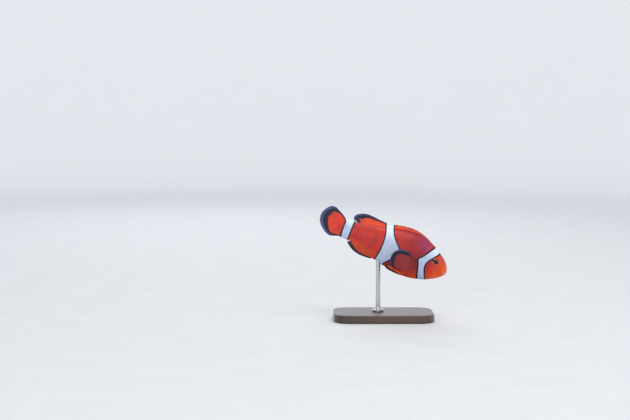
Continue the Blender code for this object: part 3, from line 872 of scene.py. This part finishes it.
def scale_faces():
    """The rim of a plate's grid, and its faces: the grid, its sides and its underside."""
    quads, rim = grid_faces(SCALE_GRID, SCALE_GRID)
    under = np.arange(len(rim)) + SCALE_GRID**2
    side = np.stack([rim, np.roll(rim, -1), np.roll(under, -1), under], -1)
    return rim, quads[:, [0, 3, 2, 1]].tolist() + side.tolist() + [under.tolist()]


def row_of_seeds(share, row, count, length):
    """One row's (share along, share round, length, how many go round), every other row half a step on."""
    return [(share, (j + 0.5 * (row % 2)) / count, length, count) for j in range(count)]


def trunk_seeds():
    """Places of the flank's scales; rows ahead of the gill edge are there for the nape."""
    seeds = []
    trunk = BODY_END - gill_edge(math.pi / 2)
    row = 0
    for start, end, count, spacing in LATTICES:
        step = spacing / trunk
        for share in np.arange(start - 3 * step if start == 0 else start, end, step):
            row += 1
            seeds += row_of_seeds(share, row, count, SCALE_LENGTH * spacing)
    return np.array(seeds)


def head_seeds():
    """Places of the scales on nape, cheek and gill cover, smallest in front."""
    gill = gill_edge(math.pi / 2)
    seeds, behind, row = [], 0.33 * gill, 0
    while behind < 0.93 * gill:
        spacing = HEAD_SPACING * (0.72 + 0.28 * float(ramp(behind, 8, 14)))
        seeds += row_of_seeds(math.sqrt(behind / gill), row, HEAD_ROUND, SCALE_LENGTH * spacing)
        behind += spacing
        row += 1
    return np.array(seeds)


def scaled_share(points):
    """Where the head has scales: 0 on the snout and round the eye, 1 on nape, cheek and gill cover."""
    x, _, z = points.T
    centre, _ = eye_place()
    eye_gap = np.hypot(x - centre[0], z - centre[2]) - EYE_OPENING
    return ramp(eye_gap, 0.5, 3.4) * ramp(-x, 7.2, 12.4) * ramp(z, -10.6, -9.4)


def stock_share(points):
    """Where the trunk and tail stock have scales: 1 up to the tail fin's root, 0 past it."""
    return ramp(points[:, 0], -73.0, -69.5)


def plates(lookup, seeds, to_behind, shown, rng):
    """Points of every plate, and how far back each lies on it.

    to_behind turns shares and angles into distances, and shown says how clear of the skin plates stand.
    """
    rim, _ = scale_faces()
    along, across = scale_outline()
    share, turn, length, count = seeds.T
    start = to_behind(share, 2 * math.pi * turn)
    start = to_behind(share, around_from_share(lookup, start, turn))
    reach = (along + 1) / 2
    behind = start[:, None] + reach * length[:, None]
    round_share = turn[:, None] + across * (SCALE_HALF_WIDTH / count)[:, None]
    around = around_from_share(lookup, behind, round_share)
    middle = SCALE_GRID**2 // 2
    sunk = SCALE_SUNK * (1 - shown(plain_skin(behind[:, middle], around[:, middle])))[:, None]
    tip = SCALE_TIP * (1 + rng.uniform(-SCALE_VARIES, SCALE_VARIES, len(seeds)))[:, None]
    lift = SCALE_ROOT + (tip - SCALE_ROOT) * reach - SCALE_CROWN * across**2 - sunk
    top = body_surface(behind, around, lift)
    under = body_surface(behind[:, rim], around[:, rim], lift[:, rim] - SCALE_THICK)
    return np.concatenate([top, under], 1), np.concatenate([reach, reach[rim]])


def coat_piece(name, points, reach, shares, finish):
    """One object from many plates, with its markings and the patch of map that each plate bakes from."""
    rim, faces = scale_faces()
    local = np.stack(scale_outline(), -1)
    local = np.concatenate([local, local[rim]])
    count, size = points.shape[:2]
    flat = points.reshape(-1, 3)
    mesh = to_mesh(name, pose(flat), [[k + i * size for k in face] for i in range(count) for face in faces])
    marks = flank_markings(flat)
    # the dark edges fade out towards the snout and the tail's root
    marks["edge"] = np.tile(reach, count) * ramp(-flat[:, 0], 8.5, 13) * ramp(flat[:, 0], -71, -64)
    write_marks(mesh, marks)
    patch = (shares * MAP_SCALE + MAP_START)[:, None, :] + PLATE_ON_MAP * local
    loops = np.zeros(len(mesh.loops), np.int32)
    mesh.loops.foreach_get("vertex_index", loops)
    layer = mesh.uv_layers.new(name="OFBake")
    layer.data.foreach_set("uv", patch.reshape(-1, 2)[loops].astype(np.float32).ravel())
    finish_shading(mesh, PLATE_SHARP)
    return add_object(name, mesh, finish)


def head_behind(share, around):
    return gill_edge(around) * share**2


def trunk_behind(share, around):
    return gill_edge(around) + GILL_CLEAR + (BODY_END - gill_edge(around)) * share


def trunk_kept(seeds, points, middle):
    """Which of the trunk's scales stay: ahead of the gill edge only the nape's, and none round the rod."""
    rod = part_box("stand_rod")
    rod_x = (rod[0].x + rod[1].x) / 2
    by_rod = np.abs(pose(points[:, 0])[:, 0] - rod_x) < ROD_CLEAR
    low = middle[:, 2] < belly_height(-middle[:, 0]) + 1.0
    return ((seeds[:, 0] >= 0) | (middle[:, 2] > NAPE_HEIGHT)) & ~(by_rod & low)


def make_coat(finish):
    """Scales over the flanks, nape, cheeks and gill covers, in pieces by side and length."""
    rng = np.random.default_rng(SEED)
    lookup = around_table()
    made = []
    for part, seeds, to_behind, shown in (("trunk", trunk_seeds(), trunk_behind, stock_share),
                                          ("head", head_seeds(), head_behind, scaled_share)):
        points, reach = plates(lookup, seeds, to_behind, shown, rng)
        middle = points.mean(1)
        keep = shown(middle) > rng.uniform(THIN_FROM, THIN_TO, len(seeds))
        stretches = {"": np.ones(len(seeds), bool)}
        if part == "trunk":
            keep &= trunk_kept(seeds, points, middle)
            front = middle[:, 0] > COAT_SPLIT
            stretches = {"front_": front, "rear_": ~front}
        right = middle[:, 1] < 0
        for side, on_side in (("right", right), ("left", ~right)):
            for stretch, on_stretch in stretches.items():
                chosen = keep & on_side & on_stretch
                name = f"scales_{part}_{stretch}{side}"
                made.append(coat_piece(name, points[chosen], reach, seeds[chosen, :2], finish))
    return made


# ---------------- eyes

EYE_FRONT_RINGS, EYE_REAR_RINGS, EYE_AROUND = 46, 14, 96
PUPIL_DOME, DOME_WIDTH = 0.03, 0.9
IRIS_HOLLOW, HOLLOW_RADIUS, HOLLOW_WIDTH = 0.07, 1.75, 0.42


def lens_height(radius):
    return EYE_DEPTH * math.sqrt(max(0.0, 1 - (radius / EYE_RADIUS) ** 2))


def make_eye(side, word, finish):
    """An eyeball turned from its profile: a domed pupil in a shallow iris, inside the cornea's rim."""
    centre, axis = eyeball_place(side)
    front = np.linspace(0.05, EYE_RADIUS, EYE_FRONT_RINGS)
    rear = EYE_RADIUS * np.cos(np.linspace(0.15, 1.5, EYE_REAR_RINGS))
    rise = PUPIL_DOME * hump(front, DOME_WIDTH) - IRIS_HOLLOW * hump(front - HOLLOW_RADIUS, HOLLOW_WIDTH)
    rings = [(radius, lens_height(radius) + extra) for radius, extra in zip(front, rise)]
    rings += [(radius, -lens_height(radius)) for radius in rear]
    points, faces = turned(centre, axis, rings, EYE_DEPTH + PUPIL_DOME, -EYE_DEPTH, EYE_AROUND)
    turn = np.linspace(0, 2 * math.pi, EYE_AROUND, endpoint=False)
    radii = np.concatenate([front, rear])[:, None]
    mesh = to_mesh(f"eyeball_{word}", pose(points), faces)
    marks = {"eye_back": -side * np.cos(turn) * radii, "eye_up": -np.sin(turn) * radii}
    write_marks(mesh, {name: np.append(values, [0, 0]) for name, values in marks.items()})
    mesh.shade_smooth()
    return add_object(f"eyeball_{word}", mesh, finish)


# ---------------- materials


class Paint:
    """A material and its node tree, with a short call for each kind of node used here."""

    def __init__(self, name, **inputs):
        self.material = bpy.data.materials.new(name)
        self.material.use_nodes = True
        self.tree = self.material.node_tree
        self.finish(**inputs)

    def finish(self, **inputs):
        """Links or sets the shader's inputs, and returns the material."""
        shader = self.tree.nodes["Principled BSDF"]
        self.fill(shader, {socket.replace("_", " "): value for socket, value in inputs.items()})
        return self.material

    def fill(self, target, inputs):
        for socket, value in inputs.items():
            if isinstance(value, bpy.types.NodeSocket):
                self.tree.links.new(value, target.inputs[socket])
            else:
                target.inputs[socket].default_value = value

    def node(self, kind, inputs=None, output=0, **settings):
        """A new node's output, its inputs linked or set."""
        made = self.tree.nodes.new("ShaderNode" + kind)
        for name, value in settings.items():
            setattr(made, name, value)
        self.fill(made, inputs or {})
        return made.outputs[output]

    def math(self, operation, first, second=0.0):
        return self.node("Math", {0: first, 1: second}, operation=operation)

    def times(self, first, second):
        return self.math("MULTIPLY", first, second)

    def plus(self, first, second):
        return self.math("ADD", first, second)

    def length(self, across, along):
        return self.math("SQRT", self.plus(self.times(across, across), self.times(along, along)))

    def mark(self, name):
        return self.node("Attribute", output="Fac", attribute_name=name)

    def noise(self, scale, detail=3.0, stretch=None):
        """Noise in object space, scale in features per metre."""
        place = self.node("TexCoord", output="Object")
        if stretch:
            place = self.node("Mapping", {"Vector": place, "Scale": stretch})
        return self.node("TexNoise", {"Vector": place, "Scale": scale, "Detail": detail}, "Fac")

    def between(self, value, low, high, to_low=0.0, to_high=1.0):
        """Eases from to_low to to_high as the value goes from low to high."""
        ends = {"Value": value, "From Min": low, "From Max": high, "To Min": to_low, "To Max": to_high}
        return self.node("MapRange", ends, "Result", interpolation_type="SMOOTHSTEP")

    def mix(self, share, first, second, blend="MIX"):
        """The first colour with the second over it by a share."""
        first, second = (c if isinstance(c, bpy.types.NodeSocket) else (*c, 1) for c in (first, second))
        colours = {0: share, 6: first, 7: second}
        return self.node("Mix", colours, 2, data_type="RGBA", blend_type=blend)

    def bump(self, height, strength, distance, rounding=None):
        """A bumped normal; rounding is the radius that takes the edges off a faceted solid."""
        inputs = {"Height": height, "Strength": strength, "Distance": distance}
        if rounding:
            inputs["Normal"] = self.node("Bevel", {"Radius": rounding}, samples=8)
        return self.node("Bump", inputs)


ORANGE = (0.66, 0.024, 0.018)
BRIGHT = (0.95, 0.105, 0.010)
DEEP_RED = (0.48, 0.010, 0.022)
# dusky red for random clouds, and painted shade under the pectoral fin and low on the body
DUSKY_AND_SHADE = (0.105, 0.014, 0.030)
# the white bars where lit at the top, and below it their painted shade low on the body, also used for
# random flecks
WHITE_LIT_TOP = (0.80, 0.89, 0.93)
WHITE_SHADE_AND_FLECK = (0.50, 0.57, 0.74)
LINE_BLACK = (0.006, 0.008, 0.020)
MARGIN = (0.060, 0.068, 0.185)
RAY_GREY = (0.16, 0.17, 0.26)
# pale lip colour, also the painted glint on the lower lip and the chin's edge
LIP_PALE_AND_GLINT = (0.68, 0.56, 0.62)
# purplish painted sheen, a reflection of light on forehead and nape
MAUVE_SHEEN = (0.30, 0.08, 0.26)
EDGE_SHADE = (0.25, 0.12, 0.10)


def fish_finish():
    """Painted skin: orange, white bars in black lines, and the fins' black bands and pale rims."""
    paint = Paint("fish_skin", Specular_IOR_Level=0.28, Coat_Weight=0.08, Coat_Roughness=0.25,
                  Subsurface_Weight=0.08, Subsurface_Radius=(1.0, 0.35, 0.2), Subsurface_Scale=0.0006)
    mix, between, mark = paint.mix, paint.between, paint.mark
    cloud, mottle, grain = paint.noise(160, 4), paint.noise(520), paint.noise(1100, 4)
    ragged = paint.times(paint.math("SUBTRACT", paint.noise(1400), 0.5), 0.5)

    colour = ORANGE
    for share, tint in (
        # brighter orange on face and fins, and painted bounce light on the belly
        (mark("warm"), BRIGHT),
        (between(mottle, 0.52, 0.72, 0.0, 0.30), DEEP_RED),
        # painted shade: the shadow under the pectoral fin's root, with dusky tone elsewhere
        (mark("dusk"), DUSKY_AND_SHADE),
        (between(cloud, 0.35, 0.7, 0.0, 0.35), DUSKY_AND_SHADE),
        (between(grain, 0.4, 0.8, 0.0, 0.18), BRIGHT),
        (paint.times(mark("ray"), 0.42), BRIGHT),
        # painted sheen: purplish reflected light on forehead and nape
        (mark("mauve"), MAUVE_SHEEN),
    ):
        colour = mix(share, colour, tint)
    colour = mix(between(mark("edge"), 0.80, 1.0, 0.0, 0.30), colour, EDGE_SHADE, "MULTIPLY")
    # pale lips and a painted glint on the lower lip and the chin's edge
    colour = mix(paint.times(mark("lip"), 0.75), colour, LIP_PALE_AND_GLINT)

    black, rim, white = (paint.plus(mark(name), ragged) for name in ("black", "rim", "white"))
    colour = mix(between(black, -0.12, 0.12), colour, LINE_BLACK)
    colour = mix(between(rim, -0.3, 0.25), colour, MARGIN)
    ink = paint.times(mark("ray"), between(black, -0.2, 0.4, 0.0, 0.16))
    colour = mix(ink, colour, RAY_GREY)
    colour = mix(between(white, -1.1, -0.9), colour, LINE_BLACK)
    # painted shade: the white is lightest at the bars' top and darker and bluer lower down
    pale = mix(mark("low"), WHITE_LIT_TOP, WHITE_SHADE_AND_FLECK)
    pale = mix(between(grain, 0.45, 0.8, 0.0, 0.25), pale, WHITE_SHADE_AND_FLECK)
    colour = mix(between(white, -0.07, 0.07), colour, pale)

    fin_rough = paint.times(mark("fin"), 0.1)
    rough = paint.plus(between(grain, 0.3, 0.7, 0.36, 0.48), fin_rough)
    joints = paint.math("SINE", paint.times(mark("span"), 2 * math.pi / RAY_JOINT))
    height = paint.plus(grain, paint.times(joints, mark("ray")))
    return paint.finish(Base_Color=colour, Roughness=rough, Normal=paint.bump(height, 0.25, 0.00006))


IRIS, IRIS_STREAK, IRIS_TOP, IRIS_RIM = (
    (0.62, 0.050, 0.015), (0.78, 0.085, 0.016), (0.16, 0.018, 0.018), (0.20, 0.02, 0.014))
PUPIL_RING, NAVY, PUPIL_BLACK = (0.85, 0.24, 0.06), (0.010, 0.012, 0.030), (0.004, 0.006, 0.016)


def eye_finish():
    """A black pupil in an orange iris with a bright inner ring, under a clear coat."""
    paint = Paint("fish_eye", Roughness=0.5, Specular_IOR_Level=0.1, Coat_Weight=0.7, Coat_Roughness=0.03)
    mix, between, divide = paint.mix, paint.between, partial(paint.math, "DIVIDE")
    back, up = paint.mark("eye_back"), paint.mark("eye_up")
    radius = paint.length(back, up)
    spoke = paint.node("CombineXYZ", {"X": divide(back, radius), "Y": divide(up, radius)})
    streaks = paint.node("TexNoise", {"Vector": spoke, "Scale": 9.0, "Detail": 4.0}, "Fac")
    colour = mix(between(streaks, 0.3, 0.8), IRIS, IRIS_STREAK)
    colour = mix(between(up, 0.9, 2.4, 0.0, 0.6), colour, IRIS_TOP)
    colour = mix(between(radius, 2.1, 2.6, 0.0, 0.7), colour, IRIS_RIM)
    pupil = paint.length(divide(back, PUPIL_WIDTH), divide(up, PUPIL_HEIGHT))
    ring = paint.math("ABSOLUTE", paint.math("SUBTRACT", pupil, 1.06))
    colour = mix(between(ring, 0.08, 0.02, 0.0, 0.5), colour, PUPIL_RING)
    level = paint.math("ABSOLUTE", paint.math("SUBTRACT", up, 0.45))
    smudge = paint.times(between(level, 1.15, 0.55), between(back, 0.9, 1.5))
    colour = mix(smudge, colour, NAVY)
    return paint.finish(Base_Color=mix(between(pupil, 1.05, 0.98), colour, PUPIL_BLACK))


WOOD_DARK, WOOD_LIGHT, WOOD_PORE = (0.030, 0.016, 0.010), (0.095, 0.048, 0.026), (0.012, 0.007, 0.005)
STEEL_DARK, STEEL_LIGHT = (0.42, 0.43, 0.44), (0.62, 0.63, 0.64)


def wood_finish():
    """Dark stained hardwood, its grain along the base, under satin lacquer."""
    paint = Paint("stand_wood", Coat_Weight=0.4, Coat_Roughness=0.18)
    flow = paint.noise(30, 4, stretch=(0.35, 3.2, 3.2))
    pores = paint.noise(420, stretch=(0.08, 2.0, 2.0))
    colour = paint.mix(paint.between(flow, 0.3, 0.7), WOOD_DARK, WOOD_LIGHT)
    colour = paint.mix(paint.between(pores, 0.55, 0.75), colour, WOOD_PORE)
    return paint.finish(Base_Color=colour, Roughness=paint.between(pores, 0.3, 0.8, 0.34, 0.52),
                        Normal=paint.bump(pores, 0.15, 0.0002, rounding=1.2 * MM))


def steel_finish():
    """Brushed steel, the marks running up the rod."""
    paint = Paint("stand_steel", Metallic=1.0)
    brushed = paint.noise(1600, stretch=(1.0, 1.0, 0.03))
    colour = paint.mix(paint.between(brushed, 0.3, 0.7), STEEL_DARK, STEEL_LIGHT)
    return paint.finish(Base_Color=colour, Roughness=paint.between(brushed, 0.2, 0.8, 0.22, 0.38),
                        Normal=paint.bump(brushed, 0.12, 0.00005, rounding=0.4 * MM))


# ---------------- studio

FLOOR_FLAT, FLOOR_BEND, WALL_HEIGHT = 1.5, 0.7, 1.5  # radius of the flat, of the bend, height of the wall
FLOOR_AROUND, BEND_ROWS, FLOOR_INNER = 96, 16, 0.3  # the last is the radius of the first ring
WALL_GLOW, GLOW_START, GLOW_FULL = 0.30, 0.7, 1.9
PAPER_DARK, PAPER_LIGHT, GLOW_COLOUR = (0.76, 0.77, 0.78), (0.78, 0.79, 0.80), (0.96, 0.975, 1.0, 1)
FISH_MIDDLE = Vector((0, 0, 0.045))
LIGHTS = (
    # name, place, size, watts, colour
    ("key", (0.25, -0.50, 1.00), 0.7, 5.6, (1.0, 0.98, 0.96)),
    ("fill", (-0.30, -1.00, 0.16), 0.9, 2.5, (0.95, 0.97, 1.0)),
    ("back", (-0.15, 0.80, 0.75), 0.8, 3.4, (0.96, 0.98, 1.0)),
)
SKY, SKY_STRENGTH = (0.86, 0.91, 1.0, 1), 0.42
LENS, SENSOR, CAMERA_RISE = 70.0, 36.0, math.radians(4.0)
FRAME_WIDTH = 0.392  # the picture's width at the fish, in metres
SNOUT_ACROSS, SNOUT_BELOW = 0.2106, 0.0990  # of that width, from the picture's middle to the snout


def paper_finish():
    """Pale paper that glows a little where it is far from the lights, so that the wall isn't darker."""
    paint = Paint("studio_paper", Roughness=0.9, Emission_Color=GLOW_COLOUR)
    fleck = paint.between(paint.noise(40, 2), 0.3, 0.7)
    place = paint.node("TexCoord", output="Object")
    outward = paint.length(*(paint.node("SeparateXYZ", {0: place}, axis) for axis in ("X", "Y")))
    return paint.finish(Base_Color=paint.mix(fleck, PAPER_DARK, PAPER_LIGHT),
                        Emission_Strength=paint.between(outward, GLOW_START, GLOW_FULL, 0.0, WALL_GLOW))


def make_stage():
    """A pale floor that sweeps up into a low wall all round."""
    wall = FLOOR_FLAT + FLOOR_BEND
    profile = [(FLOOR_INNER, 0.0), (FLOOR_FLAT, 0.0)]
    for t in np.linspace(0, math.pi / 2, BEND_ROWS + 1)[1:]:
        profile.append((FLOOR_FLAT + FLOOR_BEND * math.sin(t), FLOOR_BEND - FLOOR_BEND * math.cos(t)))
    profile.append((wall, WALL_HEIGHT))
    turns = np.linspace(0, 2 * math.pi, FLOOR_AROUND, endpoint=False)
    points = [(r * math.cos(t), r * math.sin(t), z) for r, z in profile for t in turns] + [(0, 0, 0)]
    faces = ring_faces(len(profile), FLOOR_AROUND)
    faces += [(len(points) - 1, i, (i + 1) % FLOOR_AROUND) for i in range(FLOOR_AROUND)]
    mesh = to_mesh("studio_floor", points, faces)
    mesh.shade_smooth()
    add_object("studio_floor", mesh, paper_finish())


def stand_at(name, data, place, direction):
    """An object for a light or camera, looking in a direction."""
    made = bpy.data.objects.new(name, data)
    bpy.context.scene.collection.objects.link(made)
    made.location = place
    made.rotation_mode = "QUATERNION"
    made.rotation_quaternion = direction.to_track_quat("-Z", "Y")
    return made


def make_lights():
    for name, place, size, watts, colour in LIGHTS:
        data = bpy.data.lights.new(name, "AREA")
        data.shape, data.size, data.energy, data.color = "DISK", size, watts, colour
        stand_at(name, data, place, FISH_MIDDLE - Vector(place))
    world = bpy.data.worlds.new("studio")
    bpy.context.scene.world = world
    world.use_nodes = True
    background = world.node_tree.nodes["Background"]
    background.inputs["Color"].default_value = SKY
    background.inputs["Strength"].default_value = SKY_STRENGTH


def make_camera():
    """Level with the flank and a little above it, the fish right of and below the picture's middle."""
    back = Vector((0, -math.cos(CAMERA_RISE), math.sin(CAMERA_RISE)))
    up = Vector((0, math.sin(CAMERA_RISE), math.cos(CAMERA_RISE)))
    snout = Vector(pose(np.zeros((1, 3)))[0])
    aim = snout - Vector((1, 0, 0)) * (SNOUT_ACROSS * FRAME_WIDTH) + up * (SNOUT_BELOW * FRAME_WIDTH)
    data = bpy.data.cameras.new("camera")
    data.lens, data.sensor_width = LENS, SENSOR
    data.clip_start, data.clip_end = 0.01, 20
    bpy.context.scene.camera = stand_at("camera", data, aim + back * (FRAME_WIDTH * LENS / SENSOR), -back)


def main():
    skin_finish = fish_finish()
    skin = make_skin(skin_finish)
    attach(skin, "root")
    flesh = [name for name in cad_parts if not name.startswith(("stand_", "eye_"))]
    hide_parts(*sorted(flesh))
    for piece in make_coat(skin_finish):
        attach(piece, "root")
    eye_paint = eye_finish()
    for side, word in ((-1, "right"), (1, "left")):
        eye = make_eye(side, word, eye_paint)
        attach(eye, "root")
        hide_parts(f"eye_{word}")
    for name, finish in (("stand_base", wood_finish()), ("stand_rod", steel_finish())):
        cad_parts[name].data.materials.clear()
        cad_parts[name].data.materials.append(finish)
    make_stage()
    make_lights()
    make_camera()
    bpy.context.scene.view_settings.view_transform = "Standard"


main()
